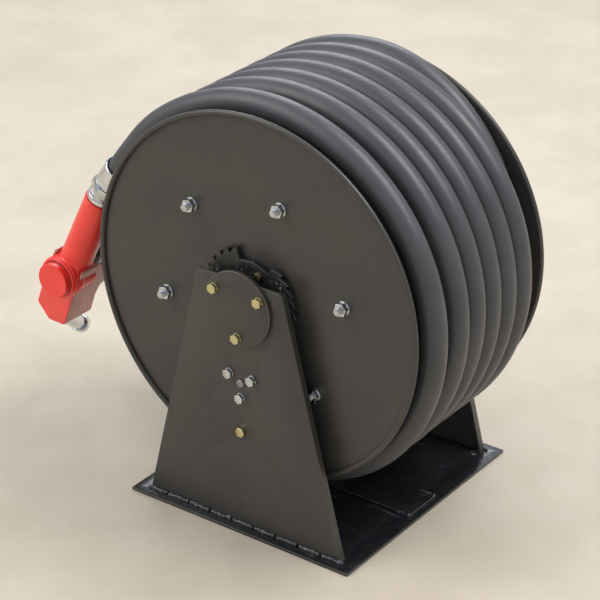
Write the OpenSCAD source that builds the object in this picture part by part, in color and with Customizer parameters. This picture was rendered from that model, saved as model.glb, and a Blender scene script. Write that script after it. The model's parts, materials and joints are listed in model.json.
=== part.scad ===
// Floor-standing hose reel with spring rewind, ratchet latch and a trigger nozzle.
// Frame: X along the front face, Y from the front upright to the rear one, Z up.
// The origin is the centre of the base plate's underside. All sizes are in millimetres.

/* [Base] */
// Width of the base plate, along X
base_w = 376; // [340:1:460]
// Thickness of the base plate
base_t = 4; // [3:0.5:6]
// Width of base plate left in front of and behind the uprights
foot_margin = 17; // [12:1:40]
// Diameter of the four floor bolt holes
floor_hole_d = 11; // [7:0.5:13]
// Distance from a floor hole to the side edge of the plate
floor_hole_inset = 30; // [25:1:40]
// Distance from a floor hole to the inner face of an upright
floor_hole_gap = 11; // [9:1:30]
// Width of the stiffening bar welded across the base plate
bar_w = 64; // [30:1:120]
// Thickness of the stiffening bar
bar_t = 3; // [2:0.5:6]
// Distance from the bar's ends to the side edges of the plate
bar_inset = 10; // [8:1:30]

/* [Uprights] */
// Height of the drum axis above the floor
axis_h = 343; // [330:1:460]
// Height of an upright's top edge above the drum axis
head_h = 39; // [36:1:60]
// Width of an upright across its top edge
top_w = 143; // [130:1:180]
// Distance from an upright's foot to the side edge of the base plate
foot_inset = 22.5; // [16:0.5:40]
// Sheet thickness of the uprights
upright_t = 4; // [3:0.5:6]
// Depth of the lips folded inwards along an upright's sloping edges
lip_d = 10; // [6:0.5:11]
// Radius of an upright's top corners
corner_r = 8; // [4:1:14]

/* [Drum] */
// Diameter of the two drum discs
disc_d = 530; // [480:1:600]
// Sheet thickness of the discs
disc_t = 2; // [1.5:0.5:3]
// Radius of the bead rolled round a disc's rim
rim_r = 4; // [3:0.5:5]
// Clear width between the discs
drum_w = 300; // [290:1:360]
// Gap between a disc and the upright beside it
side_gap = 26; // [25:0.5:40]
// Outside diameter of the core tube
core_d = 334; // [326:1:344]
// Wall thickness of the core tube
core_t = 2; // [1.5:0.5:3]
// Diameter of the six tie rods
tie_d = 10; // [8:1:12]
// Distance from the drum axis to a tie rod
tie_r = 151; // [145:1:153]
// Length of a tie rod left outside a disc
tie_tip = 17.5; // [15:0.5:18.5]

/* [Hose] */
// Outside diameter of the hose
hose_d = 38; // [34:0.5:38.5]
// Height of a hose layer's centreline step
layer_step = 38; // [38:0.5:40]

/* [Shaft and bearings] */
// Diameter of the fixed main shaft
shaft_d = 30; // [24:1:34]
// Outside diameter of the hollow rear journal
journal_d = 40; // [36:1:44]
// Waterway through the journal and the riser
water_d = 25; // [16:1:27]
// Radial clearance of a bush on its shaft
bush_fit = 0.05; // [0.01:0.01:0.1]
// Wall thickness of a bush
bush_t = 5; // [3:0.5:6]
// Diameter of the end cap and of the rear bearing flange
cap_d = 108; // [104:1:120]
// Thickness of the end cap
cap_t = 6; // [4:0.5:10]
// Radius of the bolt circle of the end cap and rear flange
cap_bolt_r = 43; // [40:0.5:46]
// Root radius of the water inlet's thread
inlet_r = 15.15; // [12:0.05:16]
// Depth of the water inlet's thread
inlet_depth = 22; // [18:1:24]

/* [Ratchet and pawl] */
// Radius of the ratchet wheel to its tooth tips
tooth_r = 78; // [76:0.5:80]
// Depth of a ratchet tooth
tooth_depth = 8; // [6:0.5:9]
// Angle from one tooth to the next
tooth_pitch = 12; // [12]
// Teeth in each of the three toothed sectors
sector_teeth = 6; // [4:1:8]
// Thickness of the ratchet wheel
wheel_t = 8; // [6:0.5:9]
// Distance from the drum axis down to the pawl's pin
pawl_drop = 115; // [115:0.5:116]
// Distance from the pawl's pin to the centre of its rounded tip
pawl_reach = 38; // [37:0.5:38.5]
// Angle at which the pawl is stored aside
pawl_tilt = 28; // [24:1:34]
// Diameter of the pawl's pin
pawl_pin_d = 12; // [10:0.5:13]

/* [Nozzle] */
// Angle between the hanging nozzle's handle and the vertical
hang = 26.7; // [20:0.1:35]
// Outside radius of the red grip over the handle
grip_r = 23.7; // [22:0.1:25]
// Outside radius of the metal handle
handle_r = 18.5; // [16:0.5:19]
// Length of the handle to the valve chamber's axis
handle_l = 150; // [140:1:170]
// Angle between the handle and the swivel at its end
inlet_angle = 10; // [0:1:20]
// Width of the red hood over the nose
hood_w = 56; // [50:1:62]
// Outside radius of the spout
spout_r = 11; // [9:0.5:12]
// Wall thickness of the spout
spout_t = 2; // [1:0.5:2.5]
// Angle through which the spout is bent
spout_bend = 50; // [30:1:55]
// Length of the spout beyond its bend
spout_l = 95; // [70:1:110]

/* [Hidden] */
$fn = 64;
eps = 0.01;
face_fit = 0.3;     // gap between faces that slide past each other
bolt_slack = 0.5;   // radial slack of a bolt in its hole

// Stations along the drum axis, measured from the drum's middle towards the front.
disc_in = drum_w / 2;
disc_out = disc_in + disc_t;
upright_in = disc_out + side_gap;
upright_out = upright_in + upright_t;
base_d = 2 * (upright_out + foot_margin);
wheel_gap = 2;      // collar that holds the ratchet wheel off the disc
wheel_in = disc_out + wheel_gap;
wheel_out = wheel_in + wheel_t;

// Uprights
bottom_w = base_w - 2 * foot_inset;
foot_z = base_t - axis_h;
side_slope = (bottom_w - top_w) / 2 / (head_h - foot_z);

// Hexagon fasteners: [thread diameter, width across flats, head height]
M5 = [5, 8, 3.5];
M6 = [6, 10, 4];
M8 = [8, 13, 5.3];
washer_t = 2;
tie_af = 17;
tie_nut_h = 8;

// Shaft, hubs and spring case
shaft_r = shaft_d / 2;
journal_r = journal_d / 2;
water_r = water_d / 2;
bush_out = shaft_r + bush_t;
hub_r = 60;
hub_t = 8;
boss_r = 30;
hub_screw_r = 46;
hub_screw_a = 68;
case_front = disc_in - 34;
case_l = 61;
case_r = 118;
case_wall = 3;
case_bore = shaft_r + 2;
shaft_end = case_front - case_l - 6;
spring_turns = 8;
spring_t = 1.6;
spring_h = 50;
journal_shoulder = upright_out - 1.6;
journal_end = upright_out + 40;
bearing_flange_t = 8;
bearing_r = cap_bolt_r - M8[1] / 2 / cos(30) - bolt_slack;
chamber_l = 6;
inlet_end = journal_end + chamber_l + inlet_depth;
rear_bush_out = journal_r + bush_t;

// Water riser: a radial pipe from the rear hub to the hose's first turn
riser_a = 210;
riser_r = 16;
riser_z = -(disc_in - 25);
riser_pad = 36;
riser_barb = 34;

// Hose: centreline radius of each layer, and the stations of the outer layer's turns
hose_r = hose_d / 2;
core_r = core_d / 2;
layer_r = [for (i = [0:2]) core_r + hose_r + i * layer_step];
block_r = layer_r[2] - hose_r + 1;
turn_z = [64, 24.5, -14.5, -53, -91.5, -129.8];
free_turn_z = 116;
free_turn_from = -148;
free_turn_to = 114;
// The hose's free end, from the winding to the ferrule
tail_route = [[-109, -116, 583], [-111, -116, 582.2], [-128, -116.5, 574], [-152, -117.5, 560],
    [-176, -119, 543], [-198, -121.5, 522], [-215, -124, 500.5], [-229.8, -125.7, 480.9],
    [-245.3, -126, 460], [-252.5, -126, 450.4]];

// Ratchet: the three sectors are centred at sector_a and every 120 degrees
sector_a = 20.5;
tooth_root = tooth_r - tooth_depth;
gap_r = 60;

// Pawl
pawl_in = wheel_in + 0.5;
pawl_out = wheel_out - 0.5;
pawl_tip_r = 2;
pawl_boss_r = 11;
pawl_bolt_r = 22;
bracket_t = 7;
bracket_r = 28;
pin_r = pawl_pin_d / 2;
anchor_drop = 190;
detent_w = 10;
detent_t = 1.2;

// Swivel, in its own frame: X along the hose's end, from the plane where the swivel turns
tail_from = -12;
coupling_from = -18;
ferrule_from = -54;
ferrule_r = 22.6;

// Nozzle, in its own frame: X along the handle, Z towards the valve cap
nozzle_at = [-283, -126, 63];
nose_l = 78;
nose_r = 15;
nose_z = -13;
chamber_r = 26;
chamber_top = 30;
spout_z = nose_z;
nose_end = handle_l + nose_l;
bend_r = 40;
collar_r = chamber_r + 4.5;
hood_from = handle_l - 30;
hood_to = handle_l + 86;
hood_tip = handle_l + 101;
hood_t = 3;
skirt_t = 2.5;
lever_at = [handle_l + 22, -46];
lever_rest = 12;
lever_reach = 127;
stem_end = lever_at[1] + 2.3;
lever_w = 14;
lever_pin_r = 3;
stem_r = 4;
lug_in = lever_w / 2 + 0.5;
lug_out = lug_in + 4;

// ---------- helpers ----------
// Drum frame: Z runs along the drum axis towards the front, X to the right and Y up.
module drum_frame() translate([0, 0, axis_h]) rotate([90, 0, 0]) children();

// Nozzle frame: X along the handle, Y towards the drum, Z towards the valve cap.
module nozzle_frame()
    translate([nozzle_at[0], nozzle_at[1], axis_h + nozzle_at[2]])
        rotate([0, 90 + hang, 0]) rotate([90, 0, 0]) children();

module swivel_frame() nozzle_frame() translate([tail_from, 0, 0]) rotate([0, 0, -inlet_angle]) children();

module disc(r, z0, z1) translate([0, 0, z0]) cylinder(r = r, h = z1 - z0);

module ring(r_out, r_in, z0, z1) difference() {
    disc(r_out, z0, z1);
    disc(r_in, z0 - 1, z1 + 1);
}

module bar_x(r, x0, x1, z = 0) translate([x0, 0, z]) rotate([0, 90, 0]) cylinder(r = r, h = x1 - x0);

module pin_y(r, half, at) translate([at[0], half, at[1]]) rotate([90, 0, 0]) cylinder(r = r, h = 2 * half);

module spaced(n, r, a) for (i = [0:n - 1]) rotate([0, 0, a + i * 360 / n]) translate([r, 0, 0]) children();

module hexagon(af, z0, z1) translate([0, 0, z0]) cylinder(d = af / cos(30), h = z1 - z0, $fn = 6);

// A hexagon bolt whose head sits on z and whose shank runs down to z_end.
module bolt(m, z, z_end) union() {
    hexagon(m[1], z, z + m[2]);
    disc(m[0] / 2, z_end, z + eps);
}

// A split spring washer standing on z.
module spring_washer(m, z) difference() {
    ring(m[0] / 2 + 3.2, m[0] / 2 + 0.2, z, z + washer_t);
    translate([0, -0.6, z - 1]) cube([m[0] + 4, 1.2, washer_t + 2]);
}

module nut(m, z0, z1) difference() {
    hexagon(m[1], z0, z1);
    disc(m[0] / 2 + 0.1, z0 - 1, z1 + 1);
}

module cap_circle() spaced(3, cap_bolt_r, 30) children();

module pawl_circle() translate([0, -pawl_drop, 0]) spaced(3, pawl_bolt_r, 30) children();

function arc(c, r, a0, a1, n) = [for (i = [0:n]) c + r * [cos(a0 + (a1 - a0) * i / n), sin(a0 + (a1 - a0) * i / n)]];

// ---------- base ----------
floor_x = base_w / 2 - floor_hole_inset;
floor_y = upright_in - floor_hole_gap;

module base_plate() color("#26272a") difference() {
    translate([-base_w / 2, -base_d / 2, 0]) cube([base_w, base_d, base_t]);
    for (x = [-1, 1], y = [-1, 1])
        translate([x * floor_x, y * floor_y, -1]) cylinder(d = floor_hole_d, h = base_t + 2);
}

module base_bar() color("#26272a")
    translate([-base_w / 2 + bar_inset, -bar_w / 2, base_t]) cube([base_w - 2 * bar_inset, bar_w, bar_t]);

// ---------- uprights ----------
function edge_x(y) = top_w / 2 + (head_h - y) * side_slope;

module upright_outline() polygon(concat(
    [[-edge_x(foot_z), foot_z], [edge_x(foot_z), foot_z]],
    arc([top_w / 2 - corner_r, head_h - corner_r], corner_r, 10, 90, 6),
    arc([-top_w / 2 + corner_r, head_h - corner_r], corner_r, 90, 170, 6)));

// The space between the two lips; it runs out above and below the sheet.
module lip_space() polygon([
    [-edge_x(foot_z - 10) + upright_t, foot_z - 10], [edge_x(foot_z - 10) - upright_t, foot_z - 10],
    [edge_x(head_h + 10) - upright_t, head_h + 10], [-edge_x(head_h + 10) + upright_t, head_h + 10]]);

module upright_shell() difference() {
    translate([0, 0, upright_out - lip_d]) linear_extrude(lip_d) upright_outline();
    translate([0, 0, upright_out - lip_d - 1]) linear_extrude(lip_d - upright_t + 1) lip_space();
}

module front_upright() color("#45423e") drum_frame() difference() {
    upright_shell();
    disc(shaft_r + bolt_slack, upright_in - 1, upright_out + 1);
    cap_circle() disc(M8[0] / 2 + bolt_slack, upright_in - 1, upright_out + 1);
    pawl_circle() disc(M8[0] / 2 + bolt_slack, upright_in - 1, upright_out + 1);
    translate([0, -pawl_drop, 0]) disc(pin_r + 0.1, upright_in - 1, upright_out + 1);
    translate([0, -anchor_drop, 0]) disc(M8[0] / 2 + bolt_slack, upright_in - 1, upright_out + 1);
}

module rear_upright() color("#45423e") drum_frame() mirror([0, 0, 1]) difference() {
    upright_shell();
    disc(boss_r, upright_in - 1, upright_out + 1);
    cap_circle() disc(M8[0] / 2 + bolt_slack, upright_in - 1, upright_out + 1);
}

weld_leg = 5;
weld_pitch = 38;
weld_l = 27;

// One fillet weld of length l along X, in the corner between floor and wall.
module fillet_weld(l) translate([-l / 2, 0, 0]) rotate([90, 0, 90])
    linear_extrude(l) polygon([[0, 0], [-weld_leg, 0], [-weld_leg / 3, weld_leg / 3], [0, weld_leg]]);

module weld_beads() color("#2c2d30") {
    count = floor((bottom_w - weld_l) / weld_pitch / 2);
    for (side = [0, 180]) rotate([0, 0, side])
        for (i = [-count:count]) translate([i * weld_pitch, -upright_out, base_t]) fillet_weld(weld_l);
    for (x = [-1, 1], side = [0, 180])
        translate([x * (base_w / 2 - bar_inset - weld_l / 2), 0, base_t]) rotate([0, 0, side])
            translate([0, -bar_w / 2, 0]) scale(bar_t / weld_leg) fillet_weld(weld_l);
}

// ---------- fixed shaft and end cap ----------
module end_cap() color("#4a4743") drum_frame() difference() {
    disc(cap_d / 2, upright_out, upright_out + cap_t);
    cap_circle() disc(M8[0] / 2 + bolt_slack, upright_out - 1, upright_out + cap_t + 1);
}

cap_face = upright_out + cap_t;
cap_bolt_end = upright_in - 8;

module cap_bolts() color("#cfc58e") drum_frame() cap_circle() bolt(M8, cap_face + washer_t, cap_bolt_end);

module cap_washers() color("#cfc58e") drum_frame() cap_circle() spring_washer(M8, cap_face);

module cap_nuts() color("#cfc58e") drum_frame() cap_circle() nut(M8, upright_in - 6.5, upright_in);

module main_shaft() color("#9a9c9f") drum_frame() disc(shaft_r, shaft_end, upright_out);

module shaft_collar() color("#8f9194") drum_frame() ring(shaft_r + 7, shaft_r, disc_out + 2.4, disc_out + 12);

// ---------- pawl mounting ----------
module pawl_bracket() color("#55524e") drum_frame() difference() {
    translate([0, -pawl_drop, 0]) disc(bracket_r, upright_in - bracket_t, upright_in);
    pawl_circle() disc(M8[0] / 2 + 0.1, upright_in - bracket_t - 1, upright_in + 1);
    translate([0, -pawl_drop, 0]) disc(pin_r + 0.1, upright_in - bracket_t - 1, upright_in + 1);
}

module pawl_bolts() color("#d9dadc") drum_frame()
    pawl_circle() bolt(M8, upright_out + washer_t, upright_in - bracket_t + 0.5);

module pawl_washers() color("#d9dadc") drum_frame() pawl_circle() spring_washer(M8, upright_out);

module pawl_pin() color("#8d8f91") drum_frame() translate([0, -pawl_drop, 0]) {
    disc(pin_r, pawl_in - face_fit, upright_out + 2.5);
    disc(pin_r + 3, disc_out + 1.2, pawl_in - face_fit);
}

module pawl_spacer() color("#b9995a") drum_frame() translate([0, -pawl_drop, 0])
    ring(pin_r + 4, pin_r + 0.1, pawl_out + face_fit, upright_in - bracket_t);

// A leaf screwed to the upright; its raised end lies against the pawl's tail.
module detent_spring() color("#7d8084") drum_frame() difference() {
    translate([-detent_w / 2, 0, 0]) rotate([90, 0, 90]) linear_extrude(detent_w) polygon([
        [-anchor_drop - 10, upright_in], [-anchor_drop - 10, upright_in - detent_t],
        [-anchor_drop + 40, upright_in - detent_t], [-pawl_drop - 25, pawl_out + 2],
        [-pawl_drop - 12, pawl_out + 0.5], [-pawl_drop - 12, pawl_out + 0.5 + detent_t],
        [-pawl_drop - 24.5, pawl_out + 2 + detent_t], [-anchor_drop + 41, upright_in]]);
    translate([0, -anchor_drop, 0]) disc(M8[0] / 2 + 0.2, upright_in - 3, upright_in + 1);
}

module anchor_screw() color("#c9a94e") drum_frame() translate([0, -anchor_drop, 0])
    bolt(M8, upright_out, upright_in - 5);

// ---------- rear bearing and water inlet ----------
module rear_bearing() color("#6b6e72") drum_frame() mirror([0, 0, 1]) difference() {
    union() {
        disc(cap_d / 2, upright_out, upright_out + bearing_flange_t);
        disc(bearing_r, upright_out, inlet_end - 20);
        hexagon(46, inlet_end - 20 - eps, inlet_end);
    }
    disc(rear_bush_out, upright_out - 1, journal_end + face_fit);
    disc(journal_r - 1, journal_end, journal_end + chamber_l);
    disc(inlet_r, journal_end + chamber_l - eps, inlet_end + 1);
    cap_circle() disc(M8[0] / 2 + bolt_slack, upright_out - 1, upright_out + bearing_flange_t + 1);
}

rear_face = upright_out + bearing_flange_t;

module rear_bolts() color("#d9dadc") drum_frame() mirror([0, 0, 1])
    cap_circle() bolt(M8, rear_face + washer_t, cap_bolt_end);

module rear_washers() color("#d9dadc") drum_frame() mirror([0, 0, 1]) cap_circle() spring_washer(M8, rear_face);

module rear_nuts() color("#d9dadc") drum_frame() mirror([0, 0, 1]) cap_circle() nut(M8, upright_in - 6.5, upright_in);

module rear_bush() color("#b58a4a") drum_frame() mirror([0, 0, 1])
    ring(rear_bush_out, journal_r + bush_fit, upright_out + 2, upright_out + 26);

module shaft_seals() color("#1b1b1c") drum_frame() mirror([0, 0, 1])
    for (z = [31, 36]) translate([0, 0, upright_out + z]) rotate_extrude()
        translate([journal_r + bush_t / 2 + 0.05, 0]) circle(r = bush_t / 2 - 0.15, $fn = 32);

// ---------- drum ----------
module disc_sheet(bore) difference() {
    union() {
        disc(disc_d / 2 - rim_r, disc_in, disc_out);
        translate([0, 0, disc_in + rim_r]) rotate_extrude()
            translate([disc_d / 2 - rim_r, 0]) circle(r = rim_r, $fn = 32);
    }
    disc(bore, disc_in - 1, disc_out + 1);
    spaced(6, tie_r, 12) disc(tie_d / 2 + bolt_slack, disc_in - 1, disc_out + 1);
    spaced(3, hub_screw_r, hub_screw_a) disc(M6[0] / 2 + 0.3, disc_in - 1, disc_out + 1);
}

module front_disc() color("#4a4743") drum_frame() disc_sheet(bush_out + 4);

module rear_disc() color("#4a4743") drum_frame() mirror([0, 0, 1]) disc_sheet(journal_r + bush_t + 1.5);

module core_tube() color("#4a4743") drum_frame() difference() {
    ring(core_r, core_r - core_t, -disc_in, disc_in);
    rotate([0, 0, riser_a]) bar_x(riser_r + 1, core_r - 30, core_r + 30, riser_z);
}

module tie_rods() color("#c9cbcd") drum_frame() spaced(6, tie_r, 12)
    disc(tie_d / 2, -disc_out - tie_tip, disc_out + tie_tip);

module tie_nuts() spaced(6, tie_r, 12) difference() {
    hexagon(tie_af, disc_out + washer_t, disc_out + washer_t + tie_nut_h);
    disc(tie_d / 2 + 0.1, disc_out, disc_out + tie_tip);
}

module tie_washers() spaced(6, tie_r, 12) ring(tie_d, tie_d / 2 + 0.3, disc_out, disc_out + washer_t);

module tie_nuts_front() color("#d9dadc") drum_frame() tie_nuts();

module tie_nuts_rear() color("#d9dadc") drum_frame() mirror([0, 0, 1]) tie_nuts();

module tie_washers_front() color("#d9dadc") drum_frame() tie_washers();

module tie_washers_rear() color("#d9dadc") drum_frame() mirror([0, 0, 1]) tie_washers();

// Saw teeth rise clockwise and drop steeply; smooth stretches lie between the sectors.
function sector_points(mid) = concat(
    [for (i = [0:sector_teeth - 1]) let (a = mid + (i - sector_teeth / 2) * tooth_pitch)
        each [tooth_r * [cos(a), sin(a)], (tooth_root + tooth_depth / 2) * [cos(a + tooth_pitch / 2), sin(a + tooth_pitch / 2)],
            tooth_root * [cos(a + tooth_pitch), sin(a + tooth_pitch)]]],
    let (a0 = mid + sector_teeth / 2 * tooth_pitch, a1 = mid + 120 - sector_teeth / 2 * tooth_pitch)
        [for (i = [0:8]) gap_r * [cos(a0 + (a1 - a0) * i / 8), sin(a0 + (a1 - a0) * i / 8)]]);

module ratchet_wheel() color("#2f2d2b") drum_frame() difference() {
    union() {
        translate([0, 0, wheel_in]) linear_extrude(wheel_t)
            polygon([for (k = [0:2]) each sector_points(sector_a + 120 * k)]);
        disc(54, disc_out, wheel_in + eps);
    }
    disc(bush_out + 4.5, disc_out - 1, wheel_out + 1);
    spaced(3, hub_screw_r, hub_screw_a) disc(M6[0] / 2 + 0.3, disc_out - 1, wheel_out + 1);
}

// Three screws through the ratchet wheel and three through the rear disc, into the hubs.
module hub_screws() color("#cfc58e") drum_frame() {
    spaced(3, hub_screw_r, hub_screw_a) bolt(M6, wheel_out, disc_in - hub_t + 0.5);
    mirror([0, 0, 1]) spaced(3, hub_screw_r, hub_screw_a) bolt(M6, disc_out, disc_in - hub_t + 0.5);
}

module front_hub() color("#77797c") drum_frame() difference() {
    union() {
        disc(hub_r, disc_in - hub_t, disc_in);
        disc(boss_r, case_front, disc_in);
    }
    disc(bush_out, case_front - 1, disc_in + 1);
    spaced(3, hub_screw_r, hub_screw_a) disc(M6[0] / 2 + 0.1, disc_in - hub_t - 1, disc_in + 1);
}

module front_bush() color("#b58a4a") drum_frame() difference() {
    union() {
        disc(bush_out, case_front, disc_out);
        disc(bush_out + 3.5, disc_out, disc_out + 2);
    }
    disc(shaft_r + bush_fit, case_front - 1, disc_out + 3);
}

// ---------- spring motor ----------
module spring_case() color("#5c5f63") drum_frame() difference() {
    disc(case_r, case_front - case_l, case_front);
    disc(case_r - case_wall, case_front - case_l - 1, case_front - case_wall);
    disc(case_bore, case_front - case_l, case_front + 1);
}

module spring_cover() color("#5c5f63") drum_frame()
    ring(case_r, case_bore, case_front - case_l - case_wall, case_front - case_l);

function spiral(r0, r1, turns, n) = [for (i = [0:n]) let (a = 360 * turns * i / n, r = r0 + (r1 - r0) * i / n) r * [cos(a), sin(a)]];

module power_spring() color("#6f7378") drum_frame() {
    n = spring_turns * 16;
    r0 = case_bore + 1;
    r1 = case_r - case_wall - spring_t - 1;
    inner = spiral(r0, r1, spring_turns, n);
    outer = spiral(r0 + spring_t, r1 + spring_t, spring_turns, n);
    translate([0, 0, case_front - case_wall - 2 - spring_h]) linear_extrude(spring_h)
        polygon(concat(inner, [for (i = [n:-1:0]) outer[i]]));
}

// ---------- rear hub and water riser ----------
module rear_hub() color("#77797c") drum_frame() difference() {
    union() {
        disc(hub_r, -disc_in, -disc_in + hub_t);
        disc(boss_r, -disc_in, -disc_in + 58);
        disc(journal_r + bush_t + 1, -journal_shoulder, -disc_in + eps);
        disc(journal_r, -journal_end, -journal_shoulder + eps);
        rotate([0, 0, riser_a]) bar_x(riser_r + 4, 0, riser_pad, riser_z);
    }
    disc(water_r, -journal_end - 1, riser_z + water_r);
    rotate([0, 0, riser_a]) bar_x(water_r - 2, 0, riser_pad + 1, riser_z);
    mirror([0, 0, 1]) spaced(3, hub_screw_r, hub_screw_a) disc(M6[0] / 2 + 0.1, disc_in - hub_t - 1, disc_in + 1);
}

module outlet_riser() color("#8f9194") drum_frame() rotate([0, 0, riser_a]) difference() {
    union() {
        bar_x(riser_r, riser_pad, layer_r[0], riser_z);
        translate([layer_r[0], 0, riser_z]) sphere(r = riser_r);
        translate([layer_r[0], 0, riser_z]) rotate([-90, 0, 0]) cylinder(r = 12, h = riser_barb);
    }
    bar_x(water_r - 3, riser_pad - 1, layer_r[0], riser_z);
    translate([layer_r[0], 0, riser_z]) rotate([-90, 0, 0]) cylinder(r = 9, h = riser_barb + 1);
}

module riser_collar() color("#c9cbcd") drum_frame() rotate([0, 0, riser_a])
    translate([layer_r[0], riser_barb - 14, riser_z]) rotate([-90, 0, 0]) difference() {
        cylinder(r = riser_r, h = 12);
        translate([0, 0, -1]) cylinder(r = 12.05, h = 14);
    }

// ---------- hose ----------
// Two full layers as one block, the outer layer as single turns, and a pocket for the riser.
module hose_winding() color("#3a3b3d") drum_frame() difference() {
    union() {
        ring(block_r, core_r + face_fit, -disc_in + 1, disc_in - 1);
        for (z = turn_z) translate([0, 0, z]) rotate_extrude() translate([layer_r[2], 0]) circle(r = hose_r, $fn = 48);
        translate([0, 0, free_turn_z]) rotate([0, 0, free_turn_from])
            rotate_extrude(angle = free_turn_to - free_turn_from) translate([layer_r[2], 0]) circle(r = hose_r, $fn = 48);
    }
    rotate([0, 0, riser_a]) translate([core_r - 10, -riser_r - 2, riser_z - riser_r - 2])
        cube([layer_r[0] + riser_r + 1 - core_r + 10, riser_r + 2 + riser_barb, 2 * riser_r + 4]);
}

function along(p, i) = let (d = p[min(i + 1, len(p) - 1)] - p[max(i - 1, 0)]) d / norm(d);

// A closed tube of radius r with the given number of sides along the points of p.
module sweep(p, r, sides) {
    points = [for (i = [0:len(p) - 1]) let (t = along(p, i), v = cross(t, [0, 1, 0]), s = v / norm(v), w = cross(t, s))
        for (k = [0:sides - 1]) p[i] + r * (cos(360 * k / sides) * s + sin(360 * k / sides) * w)];
    walls = [for (i = [0:len(p) - 2], k = [0:sides - 1]) let (a = i * sides + k, b = i * sides + (k + 1) % sides)
        [a, a + sides, b + sides, b]];
    ends = [[for (k = [0:sides - 1]) k], [for (k = [sides - 1:-1:0]) (len(p) - 1) * sides + k]];
    polyhedron(points, concat(walls, ends));
}

module hose_tail() color("#3a3b3d") sweep(tail_route, hose_r, 12);

// ---------- hose end and swivel ----------
module hose_ferrule() color("#d4d6d8") swivel_frame() rotate([0, 90, 0]) rotate_extrude() polygon([
    [10, ferrule_from + 14], [hose_r + 1.6, ferrule_from + 14], [hose_r + 1.6, ferrule_from],
    [ferrule_r, ferrule_from], [ferrule_r + 0.6, ferrule_from + 1.5], [ferrule_r, ferrule_from + 4],
    [ferrule_r - 0.6, coupling_from - 5], [ferrule_r - 2, coupling_from], [10, coupling_from]]);

module swivel_coupling() color("#d4d6d8") swivel_frame() rotate([0, 90, 0]) difference() {
    union() {
        hexagon(2 * ferrule_r - 3, coupling_from, -5);
        disc(ferrule_r - 2.2, coupling_from, -face_fit);
    }
    disc(12 + bush_fit, coupling_from - 1, 1);
}

// The ring at the handle's end is mitred, so that the stub inside the coupling follows the hose.
module swivel_tail() color("#e2e3e4") difference() {
    union() {
        nozzle_frame() rotate([0, 90, 0]) disc(22, -7, 0);
        swivel_frame() rotate([0, 90, 0]) disc(20.6, 0, 7);
        swivel_frame() rotate([0, 90, 0]) disc(12, coupling_from + 1, 1);
    }
    swivel_frame() rotate([0, 90, 0]) disc(7.5, coupling_from, 20);
}

// ---------- nozzle ----------
module nozzle_body() color("#b9bcbf") nozzle_frame() difference() {
    union() {
        bar_x(handle_r, 0, handle_l);
        translate([handle_l, 0, 0]) disc(chamber_r, -24, chamber_top);
        bar_x(nose_r, handle_l, nose_end, nose_z);
        for (y = [-lug_out, lug_in]) translate([lever_at[0] - 7, y, lever_at[1] - 6])
            cube([14, lug_out - lug_in, nose_z - nose_r + 14 - lever_at[1]]);
    }
    bar_x(8, -1, handle_l, 5);
    translate([handle_l, 0, 0]) disc(17, -4, chamber_top + 1);
    translate([handle_l, 0, 0]) disc(12, -16, -4 + eps);
    translate([handle_l, 0, 0]) disc(stem_r + bush_fit, nose_z - nose_r - 1, -15);
    bar_x(7, handle_l, nose_end - 10, nose_z);
    bar_x(spout_r + 0.1, nose_end - 22, nose_end + 1, spout_z);
    pin_y(lever_pin_r, 30, lever_at);
}

module body_envelope() {
    bar_x(handle_r + face_fit, -1, handle_l);
    translate([handle_l, 0, 0]) disc(chamber_r + face_fit, -60, 60);
    bar_x(nose_r + face_fit, handle_l, nose_end + 30, nose_z);
}

// The hood seen along the valve's axis, with its walls moved inwards by inset.
module hood_plan(inset, from) offset(r = 4) offset(delta = -4 - inset) polygon([
    [from, -hood_w / 2], [hood_to, -hood_w / 2], [hood_tip, 0], [hood_to, hood_w / 2], [from, hood_w / 2]]);

// The hood seen from its side, with its top lowered by drop and its edge at the given depth.
module hood_side(drop, edge) translate([0, hood_w, 0]) rotate([90, 0, 0]) linear_extrude(2 * hood_w) polygon(concat(
    [[hood_from - 9, 20 - drop], [handle_l + 4, 20 - drop], [hood_tip + 1, 4 - drop]], edge));

skirt_edge = [[hood_tip + 1, -55], [hood_to + 7, -54], [handle_l + 46, -45], [handle_l + 10, -48],
    [handle_l - 22, -34], [hood_from - 9, -16]];

// The grip with its flare, turned as one, and the ribbed collar round the valve chamber.
module cover_core() {
    rotate([0, 90, 0]) rotate_extrude() polygon([[0, 2], [grip_r, 2], [grip_r, handle_l - 36],
        [collar_r - 3, handle_l - 4], [0, handle_l - 4]]);
    translate([handle_l, 0, 0]) disc(collar_r, -22, chamber_top);
}

module cover_ribs() for (z = [8, 15, 22]) translate([handle_l, 0, 0]) disc(collar_r + 1.5, z, z + 3);

module nozzle_cover() color("#d8352c") nozzle_frame() difference() {
    union() {
        cover_core();
        cover_ribs();
        intersection() {
            translate([0, 0, -60]) linear_extrude(90) hood_plan(0, handle_l - 10);
            hood_side(0, [[hood_tip + 1, 4 - hood_t], [handle_l + 4, 20 - hood_t], [hood_from - 9, 20 - hood_t]]);
        }
    }
    body_envelope();
    translate([14, -11, -40]) cube([15, 22, 35]);
}

module cover_cap() color("#d8352c") nozzle_frame() translate([handle_l, 0, 0]) difference() {
    disc(chamber_r, chamber_top + face_fit, chamber_top + 10);
    disc(22 + face_fit, chamber_top, chamber_top + 7 + face_fit);
}

module valve_cap() color("#a9acaf") nozzle_frame() translate([handle_l, 0, 0]) {
    disc(22, chamber_top, chamber_top + 7);
    disc(16.9, 20, chamber_top + eps);
}

module valve_spring() color("#7d8084") nozzle_frame() translate([handle_l, 0, 0]) ring(13, 10, 4.5, 19.5);

module valve_stem() color("#c2c5c8") nozzle_frame() translate([handle_l, 0, 0]) {
    disc(stem_r, stem_end, 0);
    disc(14, -eps, 4);
}

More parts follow.
